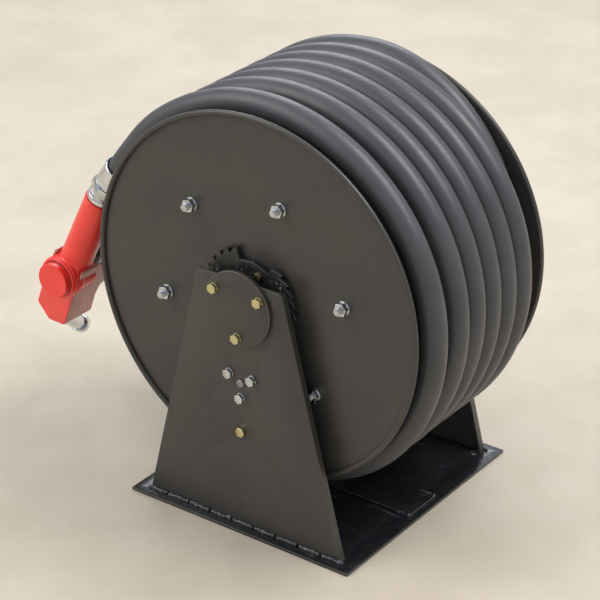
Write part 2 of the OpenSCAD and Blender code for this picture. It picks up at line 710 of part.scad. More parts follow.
module lever_guard() color("#aeb1b4") nozzle_frame() difference() {
    translate([0, 9, 0]) rotate([90, 0, 0]) linear_extrude(18) difference() {
        polygon([[17, -10], [20, -50], [34, -78], [58, -92], [handle_l + 62, -92], [handle_l + 72, -78],
            [handle_l + 58, -12], [handle_l + 40, -12]]);
        polygon([[23, -5], [26, -49], [38, -73], [60, -87], [handle_l + 58, -87], [handle_l + 66, -77],
            [handle_l + 52, -5]]);
    }
    body_envelope();
}

// Thin side walls that shield the hand from splashes, joined to the cover's underside.
module splash_skirt() color("#e8a9a4") nozzle_frame() difference() {
    intersection() {
        translate([0, 0, -60]) linear_extrude(90) hood_plan(0, hood_from);
        hood_side(hood_t, skirt_edge);
    }
    translate([0, 0, -70]) linear_extrude(110) hood_plan(skirt_t, hood_from - 20);
    translate([handle_l + 60, -spout_r - 5, -70]) cube([60, 2 * spout_r + 10, 110]);
    cover_core();
    cover_ribs();
    body_envelope();
}

module lever() color("#1f1f20") nozzle_frame() difference() {
    translate([lever_at[0], lever_w / 2, lever_at[1]]) rotate([90, 0, 0]) linear_extrude(lever_w)
        rotate([0, 0, lever_rest]) hull() {
            circle(r = 6, $fn = 32);
            translate([-lever_reach, 0]) circle(r = 4.5, $fn = 32);
        }
    pin_y(lever_pin_r + bush_fit, 30, lever_at);
}

module lever_pin() color("#c2c5c8") nozzle_frame() {
    pin_y(lever_pin_r, lug_out, lever_at);
    translate([0, lug_out + 1.5, 0]) pin_y(lever_pin_r + 2, 1.5, lever_at);
}

// The spout's centreline, from its socket in the nose round the bend to its open end.
function spout_route(extra) = let (c = [nose_end, 0, spout_z - bend_r], t = [cos(spout_bend), 0, -sin(spout_bend)])
    concat([[nose_end - 20 - extra, 0, spout_z]],
        [for (i = [0:8]) c + bend_r * [sin(spout_bend * i / 8), 0, cos(spout_bend * i / 8)]],
        [c + bend_r * [sin(spout_bend), 0, cos(spout_bend)] + (spout_l + extra) * t]);

module spout() color("#d4d6d8") nozzle_frame() difference() {
    sweep(spout_route(0), spout_r, 32);
    sweep(spout_route(1), spout_r - spout_t, 32);
}

module spout_tip() color("#e2e3e4") nozzle_frame()
    translate([nose_end, 0, spout_z - bend_r]) rotate([0, spout_bend, 0]) difference() {
        bar_x(14, spout_l - 16, spout_l - 2, bend_r);
        bar_x(spout_r + 0.05, spout_l - 17, spout_l, bend_r);
    }

// ---------- pawl ----------
module pawl() color("#605d59") drum_frame() translate([0, -pawl_drop, 0]) difference() {
    translate([0, 0, pawl_in]) linear_extrude(pawl_out - pawl_in) rotate([0, 0, pawl_tilt]) {
        hull() {
            circle(r = pawl_boss_r, $fn = 32);
            translate([0, pawl_reach]) circle(r = pawl_tip_r, $fn = 32);
        }
        hull() {
            circle(r = 8, $fn = 32);
            translate([0, -20]) circle(r = 4, $fn = 32);
        }
    }
    disc(pin_r + bush_fit, pawl_in - 1, pawl_out + 1);
}

base_plate();
base_bar();
front_upright();
rear_upright();
weld_beads();
end_cap();
cap_bolts();
cap_washers();
cap_nuts();
main_shaft();
shaft_collar();
pawl_bracket();
pawl_bolts();
pawl_washers();
pawl_pin();
pawl_spacer();
detent_spring();
anchor_screw();
rear_bearing();
rear_bolts();
rear_washers();
rear_nuts();
rear_bush();
shaft_seals();
front_disc();
rear_disc();
core_tube();
tie_rods();
tie_nuts_front();
tie_washers_front();
tie_nuts_rear();
tie_washers_rear();
ratchet_wheel();
hub_screws();
front_hub();
front_bush();
spring_case();
spring_cover();
power_spring();
rear_hub();
outlet_riser();
riser_collar();
hose_winding();
hose_tail();
hose_ferrule();
swivel_coupling();
swivel_tail();
nozzle_body();
nozzle_cover();
cover_cap();
valve_cap();
valve_spring();
lever_guard();
splash_skirt();
spout();
spout_tip();
valve_stem();
lever();
lever_pin();
pawl();
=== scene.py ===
"""Looks of a floor-standing hose reel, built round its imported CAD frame.

Everything is in metres in the frame of the CAD model: X runs along the front
upright, Y from the front upright to the rear one, and Z up from the floor.
"""

from __future__ import annotations

import json
import logging
import math
from dataclasses import dataclass, field
from enum import Enum
from typing import Any, Iterable, Sequence

import bmesh
import bpy
import numpy as np
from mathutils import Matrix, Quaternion, Vector

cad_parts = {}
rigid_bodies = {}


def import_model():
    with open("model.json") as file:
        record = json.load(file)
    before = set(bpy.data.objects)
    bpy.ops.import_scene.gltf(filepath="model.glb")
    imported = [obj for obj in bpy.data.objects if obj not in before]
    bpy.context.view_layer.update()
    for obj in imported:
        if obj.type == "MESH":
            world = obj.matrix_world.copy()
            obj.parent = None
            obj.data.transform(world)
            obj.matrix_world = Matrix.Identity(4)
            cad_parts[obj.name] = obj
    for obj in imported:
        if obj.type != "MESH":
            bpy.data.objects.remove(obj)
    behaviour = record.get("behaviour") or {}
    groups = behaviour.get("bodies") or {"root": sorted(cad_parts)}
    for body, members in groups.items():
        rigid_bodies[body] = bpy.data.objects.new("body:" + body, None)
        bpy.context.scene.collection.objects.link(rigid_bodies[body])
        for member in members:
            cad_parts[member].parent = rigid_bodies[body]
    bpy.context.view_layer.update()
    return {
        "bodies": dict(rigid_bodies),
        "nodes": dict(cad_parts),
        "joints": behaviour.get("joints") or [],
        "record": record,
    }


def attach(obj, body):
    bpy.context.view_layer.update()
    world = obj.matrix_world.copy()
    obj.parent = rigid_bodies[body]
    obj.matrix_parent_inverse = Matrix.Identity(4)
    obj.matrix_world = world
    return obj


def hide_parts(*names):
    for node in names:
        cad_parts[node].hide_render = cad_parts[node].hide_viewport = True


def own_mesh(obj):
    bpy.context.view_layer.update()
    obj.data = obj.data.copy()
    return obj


LOG = logging.getLogger("hose_reel")
MM = 0.001


# ---------------------------------------------------------------- node helpers


def linear(hex_colour: str) -> tuple[float, float, float, float]:
    """Turns an sRGB hex colour into the linear colour that a shader takes.

    Args:
        hex_colour: Six hex digits, with or without a leading hash.

    Returns:
        Linear red, green and blue, and an alpha of one.
    """
    digits = hex_colour.lstrip("#")
    channels = [int(digits[i : i + 2], 16) / 255 for i in (0, 2, 4)]
    r, g, b = (c / 12.92 if c <= 0.04045 else ((c + 0.055) / 1.055) ** 2.4 for c in channels)
    return r, g, b, 1.0


def add_node(
    tree: bpy.types.NodeTree, kind: str, inputs: dict[Any, Any] | None = None, **settings: Any
) -> bpy.types.Node:
    """Adds a node with its settings and links.

    Args:
        tree: Node tree that takes the node.
        kind: Blender's type name of the node.
        inputs: A value or an output socket for each input, by name or number.
        **settings: Properties of the node itself.

    Returns:
        The new node.
    """
    node = tree.nodes.new(kind)
    for key, value in settings.items():
        setattr(node, key, value)
    for key, value in (inputs or {}).items():
        if isinstance(value, bpy.types.NodeSocket):
            tree.links.new(value, node.inputs[key])
        else:
            node.inputs[key].default_value = value
    return node


# -------------------------------------------------------------------- finishes


class Relief(Enum):
    """The small relief that a way of making leaves on a surface."""

    ORANGE_PEEL = "sprayed enamel, with soft shallow dimples"
    CASTING = "grains of the sand or die"
    BRUSHED = "fine lines along one direction"
    TURNED = "fine grooves round the drum's axis"
    THREAD = "rolled thread along the drum's axis"
    CLOTH_WRAP = "weave of the tape that held the rubber while it cured"
    MOULDED = "faint unevenness of dipped or moulded plastic"
    PLATED = "grain of the steel under thin plating"


@dataclass(frozen=True)
class Wear:
    """Dust, scuffs or rubbed marks that lie over a finish.

    Attributes:
        colour: Colour of the marks.
        amount: How strongly they cover the finish, from 0 to 1.
        size_mm: Size of one mark across.
        stretch: How much longer a mark is than wide, along X, Y and Z.
        cover: Share of the surface with marks, from 0 to 1.
        roughness: Roughness where the marks are.
    """

    colour: str
    amount: float = 0.3
    size_mm: float = 20.0
    stretch: tuple[float, float, float] = (1.0, 1.0, 1.0)
    cover: float = 0.4
    roughness: float = 0.75


@dataclass(frozen=True)
class Finish:
    """A real material with the surface that its making gave it.

    Attributes:
        name: Plain name of the material and its surface.
        colour: Main colour.
        tint: Colour that the main one drifts to.
        drift_mm: Size of the patches of drift.
        metallic: 1 for bare metal, 0 for anything else.
        roughness: Mean roughness.
        spread: How far the roughness wanders from its mean.
        relief: What the small relief is.
        relief_mm: Spacing of the relief.
        depth_mm: Height of the relief.
        wear: Marks over the finish, deepest first.
        coat: Weight of a clear glossy coat.
        coat_roughness: Roughness of that coat.
        soft: Weight of light that wanders under the surface.
        clear: Weight of light that passes through.
        ior: Index of refraction.
    """

    name: str
    colour: str
    tint: str
    drift_mm: float = 40.0
    metallic: float = 0.0
    roughness: float = 0.4
    spread: float = 0.08
    relief: Relief = Relief.ORANGE_PEEL
    relief_mm: float = 2.0
    depth_mm: float = 0.02
    wear: tuple[Wear, ...] = ()
    coat: float = 0.0
    coat_roughness: float = 0.1
    soft: float = 0.0
    clear: float = 0.0
    ior: float = 1.5

    def material(self) -> bpy.types.Material:
        """Returns the finish's material, building it on first use.

        Returns:
            The material.
        """
        known = bpy.data.materials.get(self.name)
        if known is not None:
            return known
        made = bpy.data.materials.new(self.name)
        made.use_nodes = True
        tree = made.node_tree
        tree.nodes.clear()
        place = add_node(tree, "ShaderNodeTexCoord").outputs[
            "UV" if self.relief is Relief.CLOTH_WRAP else "Object"
        ]
        drift = self._noise(tree, place, self.drift_mm, detail=5.0)
        colour = self._mix(
            tree, self._steps(tree, drift, 0.32, 0.68), linear(self.colour), linear(self.tint)
        )
        low, high = self.roughness - self.spread, self.roughness + self.spread
        fine = self._noise(tree, place, self.drift_mm / 3, detail=3.0)
        rough = self._steps(tree, fine, 0.3, 0.7, low, high)
        for wear in self.wear:
            marks = self._marks(tree, place, wear)
            colour = self._mix(tree, marks, colour, linear(wear.colour))
            rough = add_node(
                tree,
                "ShaderNodeMix",
                {"Factor": marks, "A": rough, "B": wear.roughness},
                data_type="FLOAT",
            ).outputs["Result"]
        height = self._relief(tree, place)
        bump = add_node(
            tree,
            "ShaderNodeBump",
            {"Strength": 1.0, "Distance": self.depth_mm * MM, "Height": height},
        )
        shader = add_node(
            tree,
            "ShaderNodeBsdfPrincipled",
            {
                "Base Color": colour, "Roughness": rough, "Normal": bump.outputs["Normal"],
                "Metallic": self.metallic,
            },
        )
        if not self.metallic:
            shader.inputs["IOR"].default_value = self.ior
        shader.inputs["Coat Weight"].default_value = self.coat
        shader.inputs["Coat Roughness"].default_value = self.coat_roughness
        shader.inputs["Transmission Weight"].default_value = self.clear
        if self.soft:
            shader.inputs["Subsurface Weight"].default_value = self.soft
            shader.inputs["Subsurface Radius"].default_value = (1.0, 0.3, 0.2)
            shader.inputs["Subsurface Scale"].default_value = 2 * MM
        add_node(tree, "ShaderNodeOutputMaterial", {"Surface": shader.outputs["BSDF"]})
        return made

    @staticmethod
    def _noise(
        tree: bpy.types.NodeTree,
        place: bpy.types.NodeSocket,
        size_mm: float,
        stretch: tuple[float, float, float] = (1.0, 1.0, 1.0),
        detail: float = 2.0,
    ) -> bpy.types.NodeSocket:
        """Adds a noise whose patches are size_mm across and stretched as asked.

        Args:
            tree: Node tree to add to.
            place: Texture coordinates.
            size_mm: Size of a patch.
            stretch: How much longer a patch is along each axis.
            detail: Octaves of finer noise.

        Returns:
            The noise, 0 to 1.
        """
        if stretch != (1.0, 1.0, 1.0):
            scale = tuple(1 / s for s in stretch)
            place = add_node(tree, "ShaderNodeMapping", {"Vector": place, "Scale": scale}).outputs["Vector"]
        inputs = {"Vector": place, "Scale": 1 / (size_mm * MM), "Detail": detail, "Roughness": 0.6}
        return add_node(tree, "ShaderNodeTexNoise", inputs).outputs["Fac"]

    @staticmethod
    def _steps(
        tree: bpy.types.NodeTree,
        value: bpy.types.NodeSocket,
        low: float,
        high: float,
        to_low: float = 0.0,
        to_high: float = 1.0,
    ) -> bpy.types.NodeSocket:
        """Adds a smooth step that maps low..high to to_low..to_high.

        Args:
            tree: Node tree to add to.
            value: What is mapped.
            low: Start of the step.
            high: End of the step.
            to_low: Result at its start.
            to_high: Result at its end.

        Returns:
            The mapped value.
        """
        inputs = {"Value": value, "From Min": low, "From Max": high, "To Min": to_low, "To Max": to_high}
        return add_node(
            tree, "ShaderNodeMapRange", inputs, interpolation_type="SMOOTHSTEP"
        ).outputs["Result"]

    @staticmethod
    def _mix(tree: bpy.types.NodeTree, factor: Any, first: Any, second: Any) -> bpy.types.NodeSocket:
        """Adds a mix of two colours, each a socket or a value.

        Args:
            tree: Node tree to add to.
            factor: Share of the second.
            first: First colour.
            second: Second colour.

        Returns:
            The mixed colour.
        """
        return add_node(
            tree, "ShaderNodeMix", {0: factor, 6: first, 7: second}, data_type="RGBA"
        ).outputs[2]

    def _marks(
        self, tree: bpy.types.NodeTree, place: bpy.types.NodeSocket, wear: Wear
    ) -> bpy.types.NodeSocket:
        """Adds the mask of one kind of wear: fine marks broken up by larger patches.

        Args:
            tree: Node tree to add to.
            place: Texture coordinates.
            wear: The kind of wear.

        Returns:
            The mask, 0 to the wear's amount.
        """
        fine = self._noise(tree, place, wear.size_mm, wear.stretch, detail=4.0)
        patches = self._noise(tree, place, wear.size_mm * 6, detail=1.0)
        edge = 0.72 - 0.4 * wear.cover
        fine = self._steps(tree, fine, edge, edge + 0.12, 0.0, wear.amount)
        patches = self._steps(tree, patches, 0.38, 0.62)
        return add_node(
            tree, "ShaderNodeMath", {0: fine, 1: patches}, operation="MULTIPLY"
        ).outputs["Value"]

    def _relief(self, tree: bpy.types.NodeTree, place: bpy.types.NodeSocket) -> bpy.types.NodeSocket:
        """Adds the height of the finish's small relief.

        Args:
            tree: Node tree to add to.
            place: Texture coordinates.

        Returns:
            The height, about 0 to 1.
        """
        if self.relief is Relief.THREAD:
            return self._wave(tree, place, "Y", "BANDS")
        if self.relief is Relief.TURNED:
            return self._wave(tree, place, "Y", "RINGS")
        if self.relief is Relief.CLOTH_WRAP:
            across = self._wave(tree, place, "X", "BANDS")
            weave = self._noise(tree, place, self.relief_mm, (1.0, 3.0, 1.0), detail=3.0)
            return add_node(tree, "ShaderNodeMath", {0: across, 1: weave}, operation="ADD").outputs["Value"]
        if self.relief is Relief.BRUSHED:
            return self._noise(tree, place, self.relief_mm, (1.0, 1.0, 20.0), detail=3.0)
        if self.relief is Relief.CASTING:
            pits = add_node(
                tree, "ShaderNodeTexVoronoi", {"Vector": place, "Scale": 1 / (self.relief_mm * MM)}
            ).outputs["Distance"]
            grain = self._noise(tree, place, self.relief_mm / 2, detail=4.0)
            return add_node(tree, "ShaderNodeMath", {0: pits, 1: grain}, operation="ADD").outputs["Value"]
        return self._noise(
            tree, place, self.relief_mm, detail=1.0 if self.relief is Relief.ORANGE_PEEL else 3.0
        )

    def _wave(
        self, tree: bpy.types.NodeTree, place: bpy.types.NodeSocket, axis: str, kind: str
    ) -> bpy.types.NodeSocket:
        """Adds waves one relief_mm apart; a wave texture of scale 1 repeats every pi / 10.

        Args:
            tree: Node tree to add to.
            place: Texture coordinates.
            axis: Direction of the waves.
            kind: BANDS or RINGS.

        Returns:
            The wave, 0 to 1.
        """
        settings = {"wave_type": kind, f"{kind.lower()}_direction": axis}
        inputs = {
            "Vector": place, "Scale": math.pi / 10 / (self.relief_mm * MM), "Distortion": 0.4, "Detail": 1.0
        }
        return add_node(tree, "ShaderNodeTexWave", inputs, **settings).outputs["Fac"]


DUST = Wear("#77746e", amount=0.14, size_mm=34, cover=0.2, roughness=0.6)
SPECKS = Wear("#b9b2a5", amount=0.5, size_mm=2.5, cover=0.12, roughness=0.7)
SCUFFS = Wear("#7f8289", amount=0.35, size_mm=5, stretch=(14, 1.5, 1.5), cover=0.3, roughness=0.55)
RUBBED = Wear("#b6b7b8", amount=0.8, size_mm=7, cover=0.35, roughness=0.35)

# Gloss enamel over hot-rolled plate: nearly black, with grey scuffs and floor dust.
BASE_ENAMEL = Finish(
    "gloss black enamel on plate", "#1b1c1e", "#232427", 60, roughness=0.24, relief_mm=5, depth_mm=0.05,
    wear=(DUST, SCUFFS, SPECKS), coat=0.4, coat_roughness=0.15,
)
# Semi-gloss enamel over cold-rolled sheet: smooth; its warm grey colour is a painted reflection of the
# floor.
SHEET_ENAMEL = Finish(
    "semi-gloss black enamel on sheet", "#3e3b38", "#44413d", 140, roughness=0.36, spread=0.04, relief_mm=4,
    depth_mm=0.015, wear=(Wear("#6f6a62", 0.06, 60, cover=0.4), Wear("#a8a297", 0.15, 1.8, cover=0.06)),
)
# The same enamel where a bend or a cut edge has been rubbed thin.
EDGE_ENAMEL = Finish(
    "rubbed enamel on a sheet edge", "#57534e", "#6b6761", 30, roughness=0.3, relief_mm=3, depth_mm=0.02,
    wear=(RUBBED,),
)
# Flame-cut plate keeps its rough skin under one coat of enamel.
CUT_STEEL = Finish(
    "black enamel on flame-cut steel", "#1e1d1c", "#2b2926", 18, roughness=0.42, relief=Relief.CASTING,
    relief_mm=3, depth_mm=0.08, wear=(RUBBED,),
)
# Weld metal under enamel: lumpy, with bright spots painted on as glints.
WELD = Finish(
    "black enamel on weld metal with painted glints", "#1d1e20", "#34363a", 8, roughness=0.22, relief=Relief.CASTING,
    relief_mm=2, depth_mm=0.15, wear=(Wear("#d8dce2", 0.75, 3.5, cover=0.3, roughness=0.25),), coat=0.5,
)
# Electroplated zinc: bright, slightly blue, with a soft grain.
BRIGHT_ZINC = Finish(
    "bright zinc plate", "#d9dbde", "#c3c6ca", 8, metallic=1.0, roughness=0.24, relief=Relief.PLATED,
    relief_mm=1.5, depth_mm=0.03, wear=(Wear("#8f8d88", 0.35, 4, cover=0.3, roughness=0.5),),
)
# Yellow-passivated zinc: straw coloured with a faint green and pink play.
YELLOW_ZINC = Finish(
    "yellow-passivated zinc", "#d6c98c", "#cfc9a6", 6, metallic=1.0, roughness=0.32, relief=Relief.PLATED,
    relief_mm=1.5, depth_mm=0.03, wear=(Wear("#7d7455", 0.4, 4, cover=0.3, roughness=0.5),),
)
# Zinc-plated rod with a rolled M10 thread, whose pitch is 1.5 mm.
THREADED_ZINC = Finish(
    "zinc-plated threaded rod", "#d3d5d8", "#bcbfc2", 8, metallic=1.0, roughness=0.28, relief=Relief.THREAD,
    relief_mm=1.5, depth_mm=0.5,
)
# Turned bar left bare and oiled: fine rings from the tool.
TURNED_STEEL = Finish(
    "turned steel", "#a4a6a9", "#8b8c8e", 14, metallic=1.0, roughness=0.34, relief=Relief.TURNED,
    relief_mm=0.8, depth_mm=0.02, wear=(Wear("#4b4844", 0.4, 6, cover=0.4, roughness=0.5),),
)
# Hardened and tempered strip: blue-grey with a soft sheen.
SPRING_STEEL = Finish(
    "blued spring steel", "#565b66", "#6f6a5f", 12, metallic=1.0, roughness=0.38, relief=Relief.BRUSHED,
    relief_mm=0.6, depth_mm=0.01,
)
# Sand-cast iron: dark, grainy and matt.
CAST_IRON = Finish(
    "sand-cast iron", "#5b5c5d", "#6a6865", 20, metallic=1.0, roughness=0.55, relief=Relief.CASTING,
    relief_mm=1.8, depth_mm=0.2, wear=(DUST,),
)
# Sintered bronze: matt and porous, brown from its oil.
BRONZE = Finish(
    "sintered bronze", "#a67c42", "#8a6535", 6, metallic=1.0, roughness=0.45, relief=Relief.CASTING,
    relief_mm=0.8, depth_mm=0.03,
)
# Moulded nitrile rubber.
NITRILE = Finish(
    "moulded nitrile rubber", "#161617", "#1f1f20", 10, roughness=0.6, relief=Relief.MOULDED, relief_mm=1.2,
    depth_mm=0.02,
)
# Hose cured under wrapped cloth tape: matt black with a grey bloom.
# The real weave is 0.6 mm; it's drawn at 1.8 mm so that it shows.
HOSE_RUBBER = Finish(
    "cloth-wrapped hose rubber", "#434345", "#4b4b4e", 90, roughness=0.38, spread=0.05,
    relief=Relief.CLOTH_WRAP, relief_mm=1.8, depth_mm=0.09,
    wear=(Wear("#646569", 0.12, 3, (1.0, 3.0, 1.0), 0.4, 0.5),),
)
# Stainless fittings polished on a wheel.
POLISHED_STEEL = Finish(
    "polished stainless steel", "#e0e2e4", "#cfd2d5", 12, metallic=1.0, roughness=0.13, spread=0.05,
    relief=Relief.BRUSHED, relief_mm=1.0, depth_mm=0.006,
    wear=(Wear("#a3a5a8", 0.35, 4, cover=0.3, roughness=0.4),),
)
# Die-cast aluminium, tumbled.
DIE_CAST = Finish(
    "die-cast aluminium", "#b9bcc0", "#a7aaae", 12, metallic=1.0, roughness=0.36, relief=Relief.CASTING,
    relief_mm=1.5, depth_mm=0.04,
)
# Dipped vinyl: saturated red, glossy and slightly soft at its edges.
RED_VINYL = Finish(
    "dipped red vinyl", "#ff3b30", "#f5352a", 30, roughness=0.36, spread=0.05, relief=Relief.MOULDED,
    relief_mm=6, depth_mm=0.12, wear=(Wear("#d2574a", 0.12, 12, cover=0.3, roughness=0.5),), coat=0.35,
    coat_roughness=0.18, soft=0.12, ior=1.53,
)
# Thin vinyl that light passes through; its pale pink is painted light, standing for light falling on the
# red cover's side.
PALE_LIT_VINYL = Finish(
    "red vinyl painted pale pink as lit", "#f3b9b0", "#e8a49b", 14, roughness=0.35, relief=Relief.MOULDED, relief_mm=5,
    depth_mm=0.08, soft=0.35, clear=0.45, ior=1.53,
)
# Textured powder coat on the trigger.
POWDER_BLACK = Finish(
    "textured black powder coat", "#1a1a1b", "#232324", 10, roughness=0.55, relief=Relief.CASTING,
    relief_mm=1.0, depth_mm=0.05, wear=(RUBBED,),
)

SLOT_FINISHES: dict[str, Finish] = {
    "base_paint": BASE_ENAMEL,
    "frame_paint": SHEET_ENAMEL,
    "drum_paint": SHEET_ENAMEL,
    "ratchet_steel": CUT_STEEL,
    "yellow_zinc": YELLOW_ZINC,
    "bright_zinc": BRIGHT_ZINC,
    "turned_steel": TURNED_STEEL,
    "spring_steel": SPRING_STEEL,
    "cast_iron": CAST_IRON,
    "bronze": BRONZE,
    "seal_rubber": NITRILE,
    "hose_rubber": HOSE_RUBBER,
    "fitting_chrome": POLISHED_STEEL,
    "nozzle_alloy": DIE_CAST,
    "red_vinyl": RED_VINYL,
    # the skirt's pale pink is painted light on the red vinyl
    "pink_vinyl": PALE_LIT_VINYL,
    "lever_black": POWDER_BLACK,
}


# --------------------------------------------------------------- mesh helpers


@dataclass
class Kit:
    """The loaded CAD frame, with look-ups for its nodes.

    Attributes:
        body_of: Body of each node.
        slot_of: Material slot of each node.
    """

    frame: dict[str, Any]
    body_of: dict[str, str] = field(init=False)
    slot_of: dict[str, str] = field(init=False)

    def __post_init__(self) -> None:
        """Fills the look-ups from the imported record."""
        record = self.frame["record"]
        self.body_of = {n: b for b, nodes in record["behaviour"]["bodies"].items() for n in nodes}
        self.slot_of = {s["node"]: s["material_slot"] for s in record["subparts"]}

    def finish_of(self, node: str) -> Finish:
        """Returns the finish of a CAD node.

        Args:
            node: Name of the node.

        Returns:
            Its finish.
        """
        return SLOT_FINISHES[self.slot_of[node]]

    def dress_nodes(self) -> None:
        """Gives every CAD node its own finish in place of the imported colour."""
        for node, piece in self.frame["nodes"].items():
            for slot in piece.material_slots:
                slot.material = self.finish_of(node).material()

    def stand_in(self, piece: bpy.types.Object, *nodes: str) -> bpy.types.Object:
        """Makes a piece ride with, and stand for, CAD nodes of one body.

        Args:
            piece: Finished piece, in place.
            *nodes: The nodes it replaces.

        Returns:
            The same piece.
        """
        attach(piece, self.body_of[nodes[0]])
        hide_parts(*nodes)
        LOG.info("%s stands for %s, %d faces", piece.name, ", ".join(nodes), len(piece.data.polygons))
        return piece


def new_piece(name: str, mesh: bpy.types.Mesh, *finishes: Finish) -> bpy.types.Object:
    """Adds a piece with its finishes to the scene, at the origin.

    Args:
        name: Name of the piece.
        mesh: Its mesh, already in place.
        *finishes: Finishes for its material slots, in order.

    Returns:
        The new object.
    """
    mesh.name = name
    mesh.materials.clear()
    for finish in finishes:
        mesh.materials.append(finish.material())
    piece = bpy.data.objects.new(name, mesh)
    bpy.context.scene.collection.objects.link(piece)
    return piece


def settled(piece: bpy.types.Object) -> bpy.types.Object:
    """Turns a piece with modifiers into a plain mesh.

    Args:
        piece: Object whose modifiers are ready.

    Returns:
        The same object, with no modifiers.
    """
    bpy.context.view_layer.update()
    evaluated = piece.evaluated_get(bpy.context.evaluated_depsgraph_get())
    mesh = bpy.data.meshes.new_from_object(evaluated)
    piece.modifiers.clear()
    old, piece.data = piece.data, mesh
    name = old.name
    bpy.data.meshes.remove(old)
    mesh.name = name
    return piece


def solid_mesh(
    name: str, verts: Sequence[Sequence[float]], faces: Sequence[Sequence[int]]
) -> bpy.types.Mesh:
    """Makes a smooth mesh whose faces all point outwards.

    Args:
        name: Name of the mesh.
        verts: Its points.
        faces: Its faces, each a row of point numbers.

    Returns:
        The mesh.
    """
    mesh = bpy.data.meshes.new(name)
    mesh.from_pydata(verts, [], faces)
    bm = bmesh.new()
    bm.from_mesh(mesh)
    bmesh.ops.recalc_face_normals(bm, faces=bm.faces)
    bm.to_mesh(mesh)
    bm.free()
    mesh.shade_smooth()
    return mesh


def merged_copy(source: bpy.types.Object) -> bpy.types.Mesh:
    """Copies a CAD node's loose triangles into one joined mesh with flat faces whole.

    Args:
        source: The CAD node's object.

    Returns:
        The new mesh.
    """
    bm = bmesh.new()
    bm.from_mesh(source.data)
    bmesh.ops.remove_doubles(bm, verts=bm.verts, dist=2e-6)
    bmesh.ops.dissolve_degenerate(bm, dist=1e-6, edges=bm.edges)
    bmesh.ops.dissolve_limit(bm, angle_limit=math.radians(0.6), verts=bm.verts, edges=bm.edges)
    mesh = bpy.data.meshes.new(source.name + "_copy")
    bm.to_mesh(mesh)
    bm.free()
    mesh.shade_smooth()
    return mesh


@dataclass(frozen=True)
class Edging:
    """How the sharp edges of a CAD node are eased.

    Attributes:
        node: CAD node whose shape is kept.
        radius_mm: Size of the eased edge.
        segments: Steps across that edge.
        worn: Whether the eased edges show rubbed enamel.
    """

    node: str
    radius_mm: float
    segments: int = 2
    worn: bool = False

    def build(self, kit: Kit) -> bpy.types.Object:
        """Builds the node again with eased edges.

        Args:
            kit: The loaded frame.

        Returns:
            The piece, standing for its node.
        """
        finishes = [kit.finish_of(self.node)] + ([EDGE_ENAMEL] if self.worn else [])
        piece = new_piece(self.node + "_eased", merged_copy(kit.frame["nodes"][self.node]), *finishes)
        bevel = piece.modifiers.new("ease", "BEVEL")
        bevel.width = self.radius_mm * MM
        bevel.segments = self.segments
        bevel.limit_method = "ANGLE"
        bevel.angle_limit = math.radians(32)
        bevel.harden_normals = True
        bevel.material = 1 if self.worn else -1
        return kit.stand_in(settled(piece), self.node)


@dataclass(frozen=True)
class SpunDisc:
    """A disc spun from sheet, with a bead rolled round its rim.

    Attributes:
        node: CAD node that it stands for.
        inner_y: Y of the face that bounds the hose.
        bore: Radius of the hole in its middle.
        radius: Radius over the rim's bead.
        sheet: Thickness of the sheet.
        bead: Radius of the bead.
        axis_height: Height of the drum's axis.
        steps: Faces round the disc.
    """

    node: str
    inner_y: float
    bore: float
    radius: float = 0.265
    sheet: float = 0.002
    bead: float = 0.004
    axis_height: float = 0.343
    steps: int = 288

    def profile(self) -> list[tuple[float, float]]:
        """Returns the outline to spin, as radius and distance out from the inner face.

        Returns:
            Points round the section.
        """
        middle = self.radius - self.bead
        start, end = -math.pi / 2, math.pi + math.asin(1 - self.sheet / self.bead)
        arc = [start + (end - start) * i / 20 for i in range(21)]
        rolled = [(middle + self.bead * math.cos(a), self.bead + self.bead * math.sin(a)) for a in arc]
        rings = [self.bore + (middle - 0.006 - self.bore) * i / 6 for i in range(7)]
        return [(r, 0.0) for r in rings] + rolled + [(r, self.sheet) for r in reversed(rings)]

    def build(self, kit: Kit) -> bpy.types.Object:
        """Builds the disc.

        Args:
            kit: The loaded frame.

        Returns:
            The piece, standing for its node.
        """
        outline = self.profile()
        out = math.copysign(1.0, self.inner_y)
        turns = [2 * math.pi * i / self.steps for i in range(self.steps)]
        verts = [
            (
                r * math.cos(a), self.inner_y + out * d, self.axis_height + r * math.sin(a)
            ) for a in turns for r, d in outline
        ]
        n = len(outline)
        faces = [
            (
                i * n + j, i * n + (j + 1) % n, (i + 1) % self.steps * n + (j + 1) % n,
                (i + 1) % self.steps * n + j,
            )
            for i in range(self.steps)
            for j in range(n)
        ]
        mesh = solid_mesh(self.node, verts, faces)
        mesh.set_sharp_from_angle(angle=math.radians(35))
        return kit.stand_in(new_piece(self.node + "_spun", mesh, kit.finish_of(self.node)), self.node)


